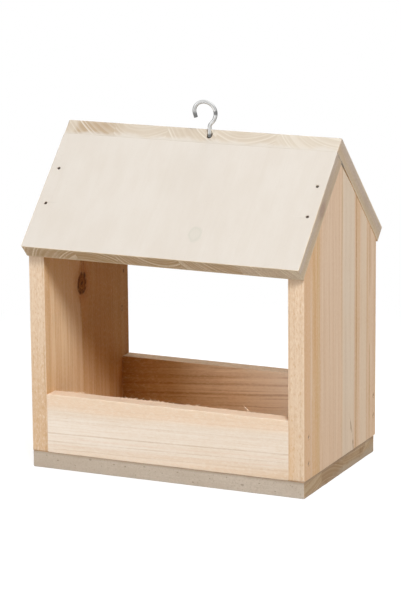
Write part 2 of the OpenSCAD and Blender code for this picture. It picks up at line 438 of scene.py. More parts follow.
def surface(colour, height, depth, looks):
    """Ends a material: its grain or dents stand depth millimetres proud, and looks are its other inputs."""
    tree = colour.tree
    lift = node(tree, "Bump", {"Height": height, "Distance": depth * MM, "Strength": 1.0})[0]
    made = node(tree, "BsdfPrincipled", {"Base Color": colour, "Normal": lift, **looks})
    node(tree, "OutputMaterial", {"Surface": made[0]})


def wood_surface(colour, height, rough, depth):
    """Ends a timber material: matt wood with the grain standing proud."""
    surface(colour, height, depth, {"Roughness": rough, "Specular IOR Level": 0.06})


def arris_mask(tree):
    """The worn arris, from the board's own attribute."""
    return node(tree, "Attribute", {}, attribute_name="arris")["Fac"]


def laid(colour, mask, share, over):
    """Lays one more colour over a surface where a mask says, at most by a share."""
    return mixed(mask * share, colour, over)


def edgewise(place):
    """A board's place with its thickness where its width was, for what runs along a narrow edge."""
    return joined(place.tree, place.axis("X"), place.axis("Z"))


# Hearts lie within the first of these and staves within the second, in millimetres from the middle.
HEART_REACH = 200.0
WIDE = 120.0


def glued(place, bands):
    """Staves glued side by side: each band starts at a place across the board and has a heart of its own,
    across and deep in millimetres, and a tone. Gives the heart and the tone."""
    tree = place.tree
    share = node(tree, "MapRange", {"Value": place.axis("Y"), "From Min": -WIDE, "From Max": WIDE})[0]
    ramp = node(tree, "ValToRGB", {"Fac": share})
    ramp.made.color_ramp.interpolation = "CONSTANT"
    marks = ramp.made.color_ramp.elements
    for k, (start, heart, deep, tone) in enumerate(bands):
        at = (start + WIDE) / (2 * WIDE)
        mark = marks[k] if k < 2 else marks.new(at)
        mark.position = at
        mark.color = (heart / HEART_REACH / 2 + 0.5, deep / HEART_REACH / 2 + 0.5, tone, 1)
    part = node(tree, "SeparateXYZ", {0: ramp[0]})
    heart = [part[axis] * (2 * HEART_REACH) - HEART_REACH for axis in "XY"]
    return joined(tree, 0.0, heart[0], heart[1]), part["Z"]


# A knot: the sawn-off branch is a dark core with fine rings and a resin rim, and the years bend round it.
knot, given, result = new_group(
    "knot", {"Place": (0, 0, 0), "Centre": (0, 0, 0), "Radius": 5.0, "Squash": 0.62},
    ["Core", "Rim", "Rings", "Pith", "Halo", "Bend"])
offset = given["Place"] - given["Centre"]
scaled = given["Place"] * (1, 1, 0)
wobble = scaled.cloud((0.2, 0.2, 0.2), 2.0)[1] - (0.5, 0.5, 0.5)
ragged = joined(knot, given["Radius"], given["Radius"]) * (0.75, 0.75, 0)
squash = joined(knot, given["Squash"], 1.0)
offset = (wobble * ragged + offset) * squash
reach = offset.length() / given["Radius"]
feed(knot, result["Core"], reach.fade_out(0.75, 1.0))
feed(knot, result["Rim"], reach.fade(0.5, 0.85) * reach.fade_out(0.9, 1.15))
feed(knot, result["Rings"], (reach * 24.0).step("SINE"))
feed(knot, result["Pith"], reach.fade_out(0.1, 0.26))
feed(knot, result["Halo"], reach.fade_out(0.8, 2.4))
press = (reach * reach * -0.22).step("EXPONENT")
feed(knot, result["Bend"], offset.axis("Y") * press * -0.9)


def pale_timber(name, turn, deep, grain, face, bands, years, seed, colours):
    """Pale staved timber under a thin wash: it lies even on the faces, browner on the side edges, and on end
    grain the early wood drinks it, so the late wood stands out as pale lines. Years are the ring width and
    the wander of the heart. Colours with washed in their names are for the end towards plus X of the grain,
    where the wash is thicker and has soaked in between two places across the board."""
    made, tree, place = timber(name, turn, deep)
    heart, tone = glued(place, bands)
    width, wander = years
    ring = use(growth_rings, Place=place, Heart=heart, Ring_width=width, Wander=wander, Seed=seed)
    speck = place.cloud((0.8, 0.9, 0.9), 3.0, 0.75)[0]
    fleck = speck.fade(0.62, 0.72)
    blotch = place.cloud((0.025, 0.06, 0.06), 3.0, 0.6)[0]
    flat = mixed(blotch.fade(0.3, 0.7), colours["face"], colours["face_deep"])
    flat = laid(flat, ring["Late"], 0.07, colours["face_line"])
    through = blotch * 9.0 + place.axis("Z")
    edge = mixed(through.fade(1.0, 8.0), colours["edge_inner"], colours["edge"])
    edge = laid(edge, blotch.fade(0.45, 0.75), 0.5, colours["edge_deep"])
    edge = laid(edge, ring["Fibre"].fade(0.42, 0.7), 0.4, colours["edge_deep"])
    edge = laid(edge, speck.fade(0.42, 0.62), 0.5, colours["edge_deep"])
    tone = tone * blotch.fade(0.25, 0.6, 0.65, 1.0)
    end = mixed(tone, colours["end"], colours["end_deep"])
    end = laid(end, ring["Late"], 0.85, colours["end_line"])
    end = laid(end, speck.fade(0.45, 0.7), 0.45, colours["end_deep"])
    if "end_washed" in colours:
        across = place.axis("Y")
        soaked = tone | across.fade(-103.0, -95.0) * across.fade_out(-80.0, -46.0)
        washed = mixed(soaked, colours["end_washed"], colours["deep_washed"])
        washed = laid(washed, ring["Late"], 0.9, colours["line_washed"])
        run_over = blotch * -12.0 + place.axis("Z")
        washed = laid(washed, run_over.fade_out(-12.0, -7.0), 0.8, colours["face"])
        end = mixed(place.axis("X").fade(140.0, 160.0), end, washed)
    colour = mixed(facing(tree, face), edge, flat)
    colour = mixed(facing(tree, grain), colour, end)
    colour = laid(colour, ring["Fibre"], 0.06, colours["edge_deep"])
    colour = laid(colour, fleck, colours["flecking"], colours["fleck"])
    colour = laid(colour, arris_mask(tree), colours["arris_share"], colours["arris"])
    height = ring["Late"] * 0.5 + (speck * 0.5 + ring["Fibre"])
    return made, tree, place, colour, height, blotch.fade(0.2, 0.8, 0.62, 0.8)


floor_colours = {
    "face": paint(232, 194, 144), "face_deep": paint(224, 180, 126), "face_line": paint(202, 158, 110),
    "edge": paint(204, 190, 174), "edge_inner": paint(204, 190, 174), "edge_deep": paint(184, 167, 148),
    "end": paint(186, 158, 124), "end_deep": paint(160, 130, 98), "end_line": paint(202, 180, 152),
    "arris": paint(204, 190, 174), "arris_share": 0.2, "fleck": paint(116, 97, 78), "flecking": 0.45}
floor_staves = [(-110, -75, 95, 0.3), (-36, -34, -130, 0.9), (4, 34, 90, 0.6), (44, 95, -80, 0.3)]
floor_wood, tree, place, colour, height, rough = pale_timber(
    "grey_stained_timber", (0, 0, 0), 6.0, ACROSS_X, UPRIGHT, floor_staves, (3.1, 2.6), 4.0, floor_colours)
along, across, through = (place.axis(axis) for axis in "XYZ")
long_edges, ends = facing(tree, ACROSS_Y), facing(tree, ACROSS_X)
# Painted shade on the whole upper arris, for the groove where the walls and rails stand on the floor.
groove_shade = arris_mask(tree) * through.fade(0.0, 4.0)
colour = laid(colour, groove_shade, 0.6, paint(138, 114, 90))
# Painted shade on the long edges, deepening towards the left end where the light falls off.
left_falloff_shade = along.fade_out(-110.0, 60.0) * long_edges
colour = laid(colour, left_falloff_shade, 0.4, floor_colours["edge_deep"])
drift = place.cloud((0.05, 0.09, 0.16), 3.0, 0.65)[0]
greyer = across * 0.05 + drift * 14.0
greyer = (greyer - through).fade(8.0, 14.0)
colour = laid(colour, greyer * ends, 0.6, paint(178, 164, 146))
browner = drift.fade_out(0.3, 0.44) * ends
colour = laid(colour, browner, 0.5, paint(138, 106, 74))
# Dark pocks in the long edges: place along, height above the middle and radius.
pocks = ((59.0, -1.0, 0.9), (-60.0, 4.0, 0.8), (-41.0, 2.5, 0.6), (21.0, -3.5, 0.6), (-86.0, 0.5, 0.6),
         (-72.0, -2.0, 0.4), (-51.0, 0.2, 0.4), (-32.0, 2.0, 0.6), (-24.0, -3.4, 0.4), (-17.0, 3.6, 0.55),
         (-3.0, 0.4, 0.4), (9.0, 2.4, 0.5), (34.0, 0.5, 0.5), (47.0, 3.0, 0.4), (72.0, 1.5, 0.5),
         (84.0, -3.0, 0.5), (97.0, 2.0, 0.4), (-95.0, 3.5, 0.45))
edge_place = edgewise(place)
for pock_x, pock_z, size in pocks:
    pock = use(knot, Place=edge_place, Centre=(pock_x, pock_z, 0.0), Radius=size)["Core"]
    colour = laid(colour, pock * long_edges, 0.42, floor_colours["fleck"])
wood_surface(colour, height, rough, 0.05)

low, high = np.array(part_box("floor_board"))
floor_board = board("floor_board_visual", rectangle(low[0], low[1], high[0], high[1]), high[2] - low[2],
                    low[2] * UPRIGHT, (ACROSS_X, ACROSS_Y, UPRIGHT), 0.4 * MM, 1)
cut_out(floor_board, nail_pits("floor_nails_left", -UPRIGHT, ACROSS_Y, 11)
        + nail_pits("floor_nails_right", -UPRIGHT, ACROSS_Y, 13))
floor_board.data.materials.append(floor_wood)
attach(floor_board, "house")
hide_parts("floor_board")

# Gable walls
# Two five-sided pine boards with upright grain, bare, edges planed and arrises just broken. They stand on
# the floor, and the left one has a knot. The rails and roof are nailed to them.
UP_GRAIN = (0, 90, 0)

# A streak along the grain: a line or a band at one place across the board that wavers a little. Edge is the
# share of its half width over which it fades out, and broken is how far it comes and goes along the grain.
streak, given, result = new_group(
    "streak", {"Place": (0, 0, 0), "Centre": 0.0, "Half width": 2.0, "Edge": 1.0, "Waver": 1.0,
               "Broken": 0.0, "Seed": 0.0}, ["Mask"])
shifted = given["Place"] + joined(streak, given["Seed"], given["Seed"]) * (91, 53, 0)
waver = shifted.cloud((0.016, 0.02, 0.02), 2.0)[0]
across = (waver - 0.5) * given["Waver"] + given["Place"].axis("Y")
off = abs(across - given["Centre"])
line = (off / given["Half width"]).fade_out(1 - given["Edge"], 1.0)
along = given["Place"].axis("X") * 0.022
strong = (given["Seed"] * 13.7 + along).noise(1.0)
weak = strong.fade_out(0.36, 0.6) * given["Broken"]
feed(streak, result["Mask"], line * (1 - weak))


def streaked(place, colour, seed, colours, rows, broken=0.75):
    """Lays lines and bands along the grain, each by its place across, half width, edge, waver, share and the
    name of its colour. Thin lines come and go as broken says, bands hardly do."""
    thinnest_band = 1.5
    for k, (centre, half, edge, wander, share, over) in enumerate(rows):
        line = use(streak, Place=place, Centre=centre, Half_width=half, Edge=edge, Waver=wander,
                   Broken=broken if half < thinnest_band else 0.1, Seed=seed + k)
        colour = laid(colour, line["Mask"], share, colours[over])
    return colour


def pine(ring, contrast, veins, colours):
    """Bare pine's colour: early wood with darker late wood, broad warm and pale drifts, veins, fibres and
    resin pores. Contrast is the share of the late wood."""
    early = mixed(ring["Tone"].fade(0.32, 0.68), colours["pale"], colours["warm"])
    colour = laid(early, ring["Late"], contrast, colours["late"])
    colour = laid(colour, ring["Vein"].fade(0.42, 0.66), veins, colours["late"])
    colour = laid(colour, ring["Fibre"].fade(0.3, 0.75), 0.3, colours["late"])
    return laid(colour, ring["Pore"], 0.25, colours["pore"])


def pine_finish(colour, ring, colours, place, mark=None):
    """Fine mottling that keeps clear of a dark mark, lighter worn arrises, uneven roughness, and late wood
    and fibres proud of the planed face."""
    fuzz = place.cloud((0.4, 1.0, 1.0), 3.0, 0.7)[0]
    mottle = fuzz.fade(0.45, 0.7)
    if mark is not None:
        mottle = mottle * (1 - mark)
    colour = laid(colour, mottle, 0.36, colours["pale"])
    colour = laid(colour, fuzz.fade_out(0.3, 0.5), 0.16, colours["late"])
    colour = laid(colour, arris_mask(place.tree), 0.2, colours["pale"])
    height = ring["Pore"] * -0.8 + (ring["Late"] * 0.6 + (ring["Fibre"] * 0.7 + fuzz))
    wood_surface(colour, height, ring["Fibre"].fade(0.2, 0.8, 0.6, 0.78), 0.06)


sapwood = {"pale": paint(233, 209, 184), "warm": paint(229, 198, 166), "late": paint(204, 160, 114),
           "pore": paint(152, 112, 80), "line": paint(186, 138, 92), "seam": paint(166, 148, 120),
           "orange": paint(220, 176, 124), "olive": paint(206, 172, 122), "strip": paint(223, 182, 143),
           "greige": paint(229, 201, 177), "cool": paint(226, 211, 192), "honey": paint(229, 208, 184),
           "tan": paint(216, 180, 140), "rose": paint(225, 195, 168), "edge": paint(230, 209, 184),
           "resin": paint(104, 68, 40), "amber": paint(208, 150, 92), "stain": paint(164, 116, 78)}
heartwood = dict(sapwood, pale=paint(241, 216, 181), warm=paint(237, 207, 168), late=paint(200, 146, 92),
                 deep=paint(194, 142, 79), shaded=paint(218, 172, 115), halo=paint(180, 118, 62))


def rough_sawn(place, colour):
    """Blotches of an edge that was sawn and hardly planed: darker torn spots and paler burnished ones."""
    torn = place.cloud((0.3, 0.8, 0.8), 3.0, 0.65)[0]
    colour = laid(colour, torn.fade(0.5, 0.68), 0.5, sapwood["late"])
    return laid(colour, torn.fade_out(0.34, 0.48), 0.6, paint(238, 218, 194))


def nail_stain(place, side):
    """Brown smudges in the wood round the rail nails of one wall, fading out over the width of a head."""
    out = ACROSS_X if side == "right" else -ACROSS_X
    mask = 0.0
    for rail in ("front", "back"):
        for head in heads(rail + "_rail_nails_" + side, out, UPRIGHT):
            off = (place - (head[2] / MM, head[1] / MM, 0)) * (0.45, 0.6, 0)
            mask = off.length().fade_out(0.5, 1.25) | mask
    return mask * turned_to(place.tree, out)


# Right wall: three staves, an orange band near the front, thin year lines and a resin streak low down. The
# inner face and the lower inner arris are warmer.
right_pine, tree, place = timber("right_wall_pine", UP_GRAIN, -100.0)
heart, tone = glued(place, [(-110, -60, 46, 0.7), (2, 6, -90, 0.15), (29, 66, -50, 0.4)])
ring = use(growth_rings, Place=place, Heart=heart, Ring_width=2.3, Wander=2.0, Seed=2.0)
colour = pine(ring, tone * 0.4 + 0.12, 0.45, sapwood)
side = streaked(place, colour, 1.0, sapwood, [
    (-61.5, 6.8, 0.4, 1.5, 0.9, "strip"), (-46.8, 8.8, 0.5, 2.0, 0.5, "orange"),
    (-42.4, 3.6, 0.9, 2.0, 0.35, "olive"), (-39.2, 1.1, 1.0, 1.5, 0.5, "amber"),
    (-53.4, 1.3, 1.0, 1.5, 0.55, "amber"), (-50.0, 1.0, 1.0, 2.5, 0.5, "amber"),
    (-46.8, 1.2, 1.0, 2.5, 0.4, "amber"), (-43.6, 1.0, 1.0, 2.5, 0.35, "amber"),
    (-56.2, 0.7, 1.0, 1.0, 0.3, "line"), (-36.6, 0.7, 1.0, 2.0, 0.2, "line"),
    (-18.0, 20.5, 0.3, 2.0, 0.45, "greige"), (-33.0, 0.8, 1.0, 2.0, 0.2, "line"),
    (-29.6, 0.7, 1.0, 1.5, 0.25, "line"), (-21.0, 0.9, 1.0, 2.0, 0.22, "line"),
    (-10.0, 0.7, 1.0, 1.0, 0.35, "line"), (2.0, 0.6, 1.0, 0.5, 0.5, "seam"),
    (14.6, 13.0, 0.3, 1.0, 0.65, "cool"), (32.6, 3.8, 0.8, 1.0, 0.4, "tan"),
    (29.2, 1.5, 0.9, 0.8, 0.85, "line"), (43.0, 8.0, 0.5, 1.5, 0.75, "honey"),
    (9.0, 0.9, 1.0, 2.0, 0.2, "line"), (18.5, 0.9, 1.0, 2.0, 0.2, "line"),
    (39.0, 0.8, 1.0, 2.0, 0.25, "line"), (50.6, 0.8, 1.0, 1.2, 0.25, "line"),
    (62.2, 6.0, 0.4, 1.0, 0.35, "rose"), (55.3, 1.2, 1.0, 1.0, 0.75, "line"),
    (63.8, 0.6, 1.0, 1.0, 0.3, "line")])
side = laid(side, turned_to(tree, -ACROSS_X), 0.6, paint(232, 186, 132))
side = laid(side, nail_stain(place, "right"), 0.6, sapwood["stain"])
narrow = rough_sawn(place, laid(colour, facing(tree, ACROSS_Y), 0.45, sapwood["edge"]))
narrow = streaked(edgewise(place), narrow, 30.0, sapwood, [
    (5.0, 0.8, 1.0, 0.5, 0.5, "line"), (1.2, 0.5, 1.0, 1.2, 0.3, "line"),
    (-3.2, 0.6, 1.0, 1.5, 0.25, "line")])
upright, back, inwards = (place.axis(axis) for axis in "XYZ")
narrow = laid(narrow, upright.fade_out(15.0, 80.0) * inwards.fade(-3.0, 5.0), 0.5, sapwood["orange"])
colour = mixed(facing(tree, ACROSS_X), narrow, side)
slanted = joined(tree, upright, upright * 0.28 + back)
seep = use(streak, Place=slanted, Centre=28.2, Half_width=1.9, Waver=3.0, Seed=20.0)["Mask"]
broken = place.cloud((0.14, 0.4, 0.4), 2.0)[0]
seep = seep * broken.fade(0.42, 0.58) * upright.fade_out(38.0, 44.0) * facing(tree, ACROSS_X)
colour = laid(colour, seep, 0.65, paint(146, 98, 58))
pine_finish(colour, ring, sapwood, place, seep)

# Left wall: a pale stave in front and a darker one behind, with the knot between them and two marks by the
# back edge. Shade is painted into the inner face, and more faintly into the outer one: deeper on the back
# stave, under the roof's shadow and a little low at the front, while a patch near the floor is painted paler
# as if lit.
left_pine, tree, place = timber("left_wall_pine", UP_GRAIN, 100.0)
branch = use(knot, Place=place, Centre=(124.3, -8.7, 0.0), Radius=6.9, Squash=0.84)
around = place + joined(tree, 0.0, branch["Bend"])
heart, tone = glued(around, [(-110, 60, 60, 0.0), (-10.5, -60, 80, 1.0)])
ring = use(growth_rings, Place=around, Heart=heart, Ring_width=3.4, Wander=2.2, Seed=5.0)
colour = pine(ring, 0.2, tone * 0.3 + 0.22, heartwood)
upright, back = (place.axis(axis) for axis in "XY")
pale_stave = 1 - tone
# Painted shade on the front stave under the roof, beyond the slanting edge of the roof's shadow.
painted_roof_shadow = upright.fade(80.0, 150.0) * pale_stave * (back * 1.15 + upright).fade(60.0, 80.0)
# Back stave: its deep tone is partly its own colour and partly painted shade, eased in a painted lit patch
# low at the front.
outside_lit_patch = (back * 0.8 + upright).fade(58.0, 92.0, 0.3, 1.0)
# Painted shade low on the front stave, deepest towards the front.
low_front_shade = upright.fade_out(55.0, 90.0) * back.fade(-50.0, -22.0, 1.0, 0.35) * pale_stave
# Painted shade and light count fully on the inner face and at 0.4 on the outer one.
painted_shading_indoors = turned_to(tree, ACROSS_X) * 0.6 + 0.4
colour = laid(colour, tone * outside_lit_patch * painted_shading_indoors, 0.78, heartwood["deep"])
colour = laid(colour, low_front_shade * painted_shading_indoors, 0.22, heartwood["deep"])
colour = laid(colour, painted_roof_shadow * painted_shading_indoors, 0.65, heartwood["shaded"])
colour = streaked(around, colour, 40.0, heartwood, [
    (-63.5, 4.4, 0.4, 1.0, 0.35, "deep"), (-59.0, 0.7, 1.0, 1.0, 0.5, "late"),
    (-44.0, 1.2, 1.0, 2.0, 0.2, "late"), (-33.0, 1.4, 1.0, 2.0, 0.22, "late"),
    (-22.0, 1.2, 1.0, 2.0, 0.22, "late"), (-14.5, 6.0, 1.0, 2.0, 0.2, "late"),
    (-52.0, 0.8, 1.0, 1.5, 0.35, "late"), (-38.5, 0.7, 1.0, 1.5, 0.35, "late"),
    (-28.0, 0.8, 1.0, 1.5, 0.35, "late"), (14.0, 0.8, 1.0, 2.0, 0.4, "halo"),
    (33.5, 0.7, 1.0, 2.0, 0.4, "halo"), (50.5, 0.8, 1.0, 2.0, 0.35, "halo"),
    (-10.5, 0.8, 1.0, 1.0, 0.4, "late"), (-4.0, 6.0, 0.9, 3.0, 0.35, "late"),
    (8.5, 1.3, 1.0, 3.0, 0.35, "halo"), (19.5, 2.4, 1.0, 3.0, 0.25, "halo"),
    (27.5, 0.9, 1.0, 3.0, 0.4, "halo"), (41.0, 1.8, 1.0, 3.0, 0.3, "halo"),
    (46.5, 0.8, 1.0, 3.0, 0.35, "halo"), (55.0, 2.2, 1.0, 3.0, 0.25, "halo"),
    # The wide last band by the back edge is painted shade, darkening where light from behind grazes the inner
    # face.
    (64.0, 7.0, 0.9, 2.0, 0.4, "halo")])
colour = laid(colour, branch["Halo"], 0.6, heartwood["halo"])
tails = ((-6.2, 1.7, 128.0, 160.0), (-9.4, 1.2, 130.0, 160.0), (-11.6, 1.3, 98.0, 118.0))
for centre, half, low, high in tails:
    tail = use(streak, Place=place, Centre=centre, Half_width=half, Waver=3.0, Seed=70.0 + half)
    tail = tail["Mask"] * upright.fade(low - 4.0, low + 4.0) * upright.fade_out(high - 8.0, high)
    colour = laid(colour, tail, 0.5, paint(150, 92, 44))
core = mixed(branch["Rings"].fade(-0.6, 0.8), paint(160, 102, 44), paint(126, 76, 28))
core = laid(core, branch["Pith"], 0.85, paint(78, 46, 14))
colour = mixed(branch["Core"], colour, core)
patchy = place.cloud((0.25, 0.3, 0.3), 2.0)[0]
rim = branch["Rim"] * patchy.fade(0.38, 0.6, 0.25, 1.0)
colour = laid(colour, rim, 0.9, paint(86, 50, 16))
mark = use(knot, Place=place, Centre=(119.7, 59.9, 0.0), Radius=1.0)["Core"]
colour = laid(colour, mark, 0.8, heartwood["resin"])
mark = use(knot, Place=place, Centre=(91.7, 56.6, 0.0), Radius=1.5)["Rim"]
colour = laid(colour, mark, 0.5, heartwood["resin"])
narrow = laid(pine(ring, 0.2, 0.3, sapwood), facing(tree, ACROSS_Y), 0.45, sapwood["edge"])
narrow = laid(narrow, upright.fade_out(30.0, 130.0), 0.6, paint(211, 172, 130))
narrow = rough_sawn(place, narrow)
narrow = streaked(edgewise(place), narrow, 60.0, sapwood, [
    (-4.8, 0.9, 1.0, 0.6, 0.5, "line"), (0.8, 0.5, 1.0, 1.5, 0.25, "line"),
    (4.6, 0.6, 1.0, 0.6, 0.3, "line")])
colour = mixed(facing(tree, ACROSS_Y), colour, narrow)
colour = laid(colour, nail_stain(place, "left"), 0.6, sapwood["stain"])
pine_finish(colour, ring, sapwood, place, branch["Core"] | branch["Rim"])

# The gable's front slope runs at 45 degrees to a tip a little in front of the middle. The back slope does so
# up to a knee and then leans over a little more to meet the tip.
TIP_BACK = 0.8 * MM
KNEE = 22 * MM
for side, wood, seed in (("left", left_pine, 2), ("right", right_pine, 3)):
    low, high = np.array(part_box(side + "_wall"))
    shoulder = high[2] - (high[1] - TIP_BACK)
    gable = [(low[1], low[2]), (high[1], low[2]), (high[1], shoulder), (KNEE, shoulder + high[1] - KNEE),
             (-TIP_BACK, high[2]), (low[1], shoulder)]
    wall = board(side + "_wall_visual", gable, high[0] - low[0], low[0] * ACROSS_X,
                 (ACROSS_Y, UPRIGHT, ACROSS_X), 0.22 * MM, seed)
    out = ACROSS_X if side == "right" else -ACROSS_X
    cut_out(wall, nail_pits("front_rail_nails_" + side, out, UPRIGHT, 20 * seed)
            + nail_pits("back_rail_nails_" + side, out, UPRIGHT, 20 * seed + 5))
    wall.data.materials.append(wood)
    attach(wall, "house")
    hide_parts(side + "_wall")

# Rails
# Two low pine boards between the walls, flush with their front and back edges, with the grain lying level.
# The walls are nailed into their ends. The front one is pale and nearly plain, the back one has strong
# years, and on its inner face, more faintly elsewhere, shade is painted in deep at the left and light is
# painted in near white at the right.
cream = dict(sapwood, pale=paint(245, 233, 219), warm=paint(242, 228, 212), late=paint(220, 190, 156),
             peach=paint(236, 205, 173), line=paint(192, 156, 116), rose=paint(232, 202, 178),
             pore=paint(204, 168, 134))
front_pine, tree, place = timber("front_rail_pine", (90, 0, 1.3))
ring = use(growth_rings, Place=place, Heart=(0, -260, 40), Ring_width=4.2, Wander=2.0, Seed=7.0)
colour = pine(ring, 0.14, 0.2, cream)
along, across = (place.axis(axis) for axis in "XY")
broad = place.cloud((0.01, 0.03, 0.03), 2.0)[0]
edging = (ring["Vein"] - 0.5) * 8.0 + (broad * 9.0 + across)
colour = laid(colour, edging.fade_out(-45.0, -36.5), 0.75, cream["peach"])
colour = laid(colour, edging.fade(-15.0, -8.0), 0.5, cream["peach"])
corner = edging.fade(-15.0, -7.0) * along.fade(0.0, 85.0)
colour = laid(colour, corner, 0.45, cream["tan"])
colour = streaked(place, colour, 80.0, cream, [
    (-28.5, 0.75, 1.0, 0.6, 0.5, "line"), (-38.0, 0.7, 1.0, 1.5, 0.15, "line"),
    (-25.0, 1.0, 1.0, 1.5, 0.3, "rose"), (-22.5, 0.7, 1.0, 1.5, 0.25, "line"),
    (-19.5, 1.0, 1.0, 1.5, 0.35, "rose"), (-16.5, 0.7, 1.0, 1.5, 0.22, "line"),
    (-45.5, 0.7, 1.0, 1.5, 0.3, "late"), (-49.0, 0.8, 1.0, 1.5, 0.25, "late")], 0.35)
colour = laid(colour, facing(tree, UPRIGHT), 0.6, paint(236, 213, 188))
pine_finish(colour, ring, cream, place)

amber = dict(sapwood, pale=paint(238, 216, 190), warm=paint(232, 204, 172), late=paint(186, 143, 100),
             dark=paint(156, 100, 54), deep=paint(176, 130, 73), bleached=paint(253, 245, 232),
             dusty=paint(164, 140, 116))
back_pine, tree, place = timber("back_rail_pine", (90, 0, 4.5))
ring = use(growth_rings, Place=place, Heart=(0, -120, 40), Ring_width=4.6, Wander=2.5, Seed=9.0)
colour = pine(ring, 0.35, 0.25, amber)
along = place.axis("X")
# Painted shade at the left end and painted light at the right, full on the inner face, a third elsewhere.
painted_shading_indoors = turned_to(tree, -ACROSS_Y) * 0.7 + 0.3
colour = laid(colour, along.fade_out(-100.0, -20.0) * painted_shading_indoors, 0.95, amber["deep"])
colour = laid(colour, along.fade(-70.0, 72.0) ** 4.0 * painted_shading_indoors, 1.0, amber["bleached"])
colour = streaked(place, colour, 90.0, amber, [
    (-41.8, 1.5, 1.0, 1.0, 0.42, "dark"), (-34.3, 1.5, 1.0, 1.5, 0.45, "dark"),
    (-31.2, 0.8, 1.0, 4.0, 0.4, "dark"), (-48.0, 1.0, 1.0, 5.0, 0.35, "dark"),
    (-54.0, 1.2, 1.0, 6.0, 0.3, "dark"), (-37.2, 0.7, 1.0, 3.0, 0.35, "dark"),
    (-25.5, 0.8, 1.0, 5.0, 0.4, "dark")])
# Painted shade: the top and bottom faces are laid a greyer brown.
colour = laid(colour, facing(tree, UPRIGHT), 0.65, amber["dusty"])
pine_finish(colour, ring, amber, place)

for side, wood, seed in (("front", front_pine, 4), ("back", back_pine, 5)):
    low, high = np.array(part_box(side + "_rail"))
    rail = board(side + "_rail_visual", rectangle(low[0], low[2], high[0], high[2]), high[1] - low[1],
                 high[1] * ACROSS_Y, (ACROSS_X, UPRIGHT, -ACROSS_Y), 0.4 * MM, seed)
    rail.data.set_sharp_from_angle(angle=SHARP)
    rail.data.materials.append(wood)
    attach(rail, "house")
    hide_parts(side + "_rail")

# Torn fibres
# Slivers that the saw tore up along the inner top arris of the front rail and nobody sanded off. Each is
# still joined to the rail at one end and curls away from it.
low, high = np.array(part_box("front_rail"))
rng = np.random.default_rng(17)
clumps = np.array([-80.0, -74.0, -69.0, -40.0, -34.0, -29.0, -14.0, -10.0, 16.0, 22.0, 38.5, 57.0]) * MM
count = 120
root = np.stack([clumps[rng.integers(0, len(clumps), count)] + rng.normal(0, 3.5 * MM, count),
                 high[1] - rng.uniform(0.1, 0.9, count) * MM,
                 high[2] - rng.uniform(0.1, 0.3, count) * MM], 1)
heading = np.stack([rng.choice([-1, 1], count) * rng.uniform(0.7, 1, count), rng.uniform(-0.1, 0.5, count),
                    rng.uniform(0.04, 0.4, count)], 1)
length = rng.uniform(1.3, 3.8, count) * MM
thick = rng.uniform(0.14, 0.3, count) * MM
curl = np.stack([0 * length, rng.uniform(-0.2, 0.3, count), rng.uniform(-0.15, 0.3, count)], 1)
# The first one is the long sliver near the right end.
root[0] = (60.2 * MM, high[1] - 0.3 * MM, high[2] - 0.2 * MM)
heading[0] = (-1, 0.05, 0.7)
curl[0] = (0, 0.05, 0.06)
length[0], thick[0] = 7.0 * MM, 0.38 * MM


def slivers(root, heading, length, thick, curl):
    """Four-sided tapered strands, all at once: each follows root + heading t + curl t squared, scaled to its
    length, and thins towards its tip."""
    heading = heading / np.linalg.norm(heading, axis=1)[:, None]
    t = np.linspace(0, 1, 7)[None, :, None]
    line = root[:, None] + length[:, None, None] * (t * heading[:, None] + t * t * curl[:, None])
    side = np.cross(heading, UPRIGHT)
    side /= np.linalg.norm(side, axis=1)[:, None]
    over = np.cross(side, heading)
    turn = np.arange(4) * np.pi / 2
    flattened, taper = 1.6, 0.85
    round_it = np.cos(turn)[:, None] * side[:, None] * flattened + np.sin(turn)[:, None] * over[:, None]
    girth = (thick[:, None] * (1 - taper * t[..., 0]))[..., None, None]
    rings = line[:, :, None] - girth * round_it[:, None]
    blocks = np.concatenate([rings.reshape(len(root), -1, 3), line[:, [0, -1]]], 1)
    start = (np.arange(len(root)) * blocks.shape[1])[:, None, None]
    quads, tris = closed_grid(t.shape[1], len(turn))
    return blocks.reshape(-1, 3), (quads + start).reshape(-1, 4), (tris + start).reshape(-1, 3)


fibres = piece_from("rail_fibres", *slivers(root, heading, length, thick, curl))
fibres.data.materials.append(front_pine)
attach(fibres, "house")

# Roof boards
# Two pale boards of glued staves with the grain up the slope, washed like the floor. The back one runs
# through to the ridge and shows its end grain there. The front one, with a filled knot low down, butts
# against its underside.
HALF = math.sqrt(0.5)
ROOF_THICK = 12 * MM
# Where the timber counts a roof board's thickness from: millimetres from the frame's origin along its normal.
ROOF_DEEP = 165.8
roof_colours = {
    "face": paint(211, 204, 195), "face_deep": paint(208, 200, 190), "face_line": paint(199, 191, 177),
    "edge": paint(201, 185, 170), "edge_inner": paint(204, 182, 155), "edge_deep": paint(179, 157, 134),
    "end": paint(233, 213, 188), "end_deep": paint(186, 151, 108), "end_line": paint(249, 234, 208),
    "arris": paint(211, 203, 190), "arris_share": 0.2, "fleck": paint(150, 130, 108), "flecking": 0.12,
    "worn": paint(236, 210, 170)}
ridge_colours = dict(roof_colours, end_washed=paint(207, 197, 182), deep_washed=paint(179, 158, 133),
                     line_washed=paint(216, 208, 196))
roof_staves = {"front": [(-110, -150, 30, 0.3), (-62, -70, 26, 0.7), (-16, -4, 19, 0.85), (32, 60, -30, 0.9),
                         (64, 30, -44, 0.85)],
               "back": [(-110, -40, 60, 0.4), (-68, -45, 27, 0.35), (-27, 40, 44, 0.4), (12, 30, 32, 0.35),
                        (58, 110, 40, 0.15)]}
stem = np.array(frame["joints"][0]["pos_m"]) * (1, 1, 0)
bore_z = np.array([224.5, 229.0, 238.0, 239.4, 246.0]) * MM
bore_r = np.array([0.46, 2.08, 2.08, 2.2, 2.2]) * MM
hook_bore = turned(bore_r, bore_z, stem, UPRIGHT, [0, 0, 0.01, 0.02, 0.02], 71)
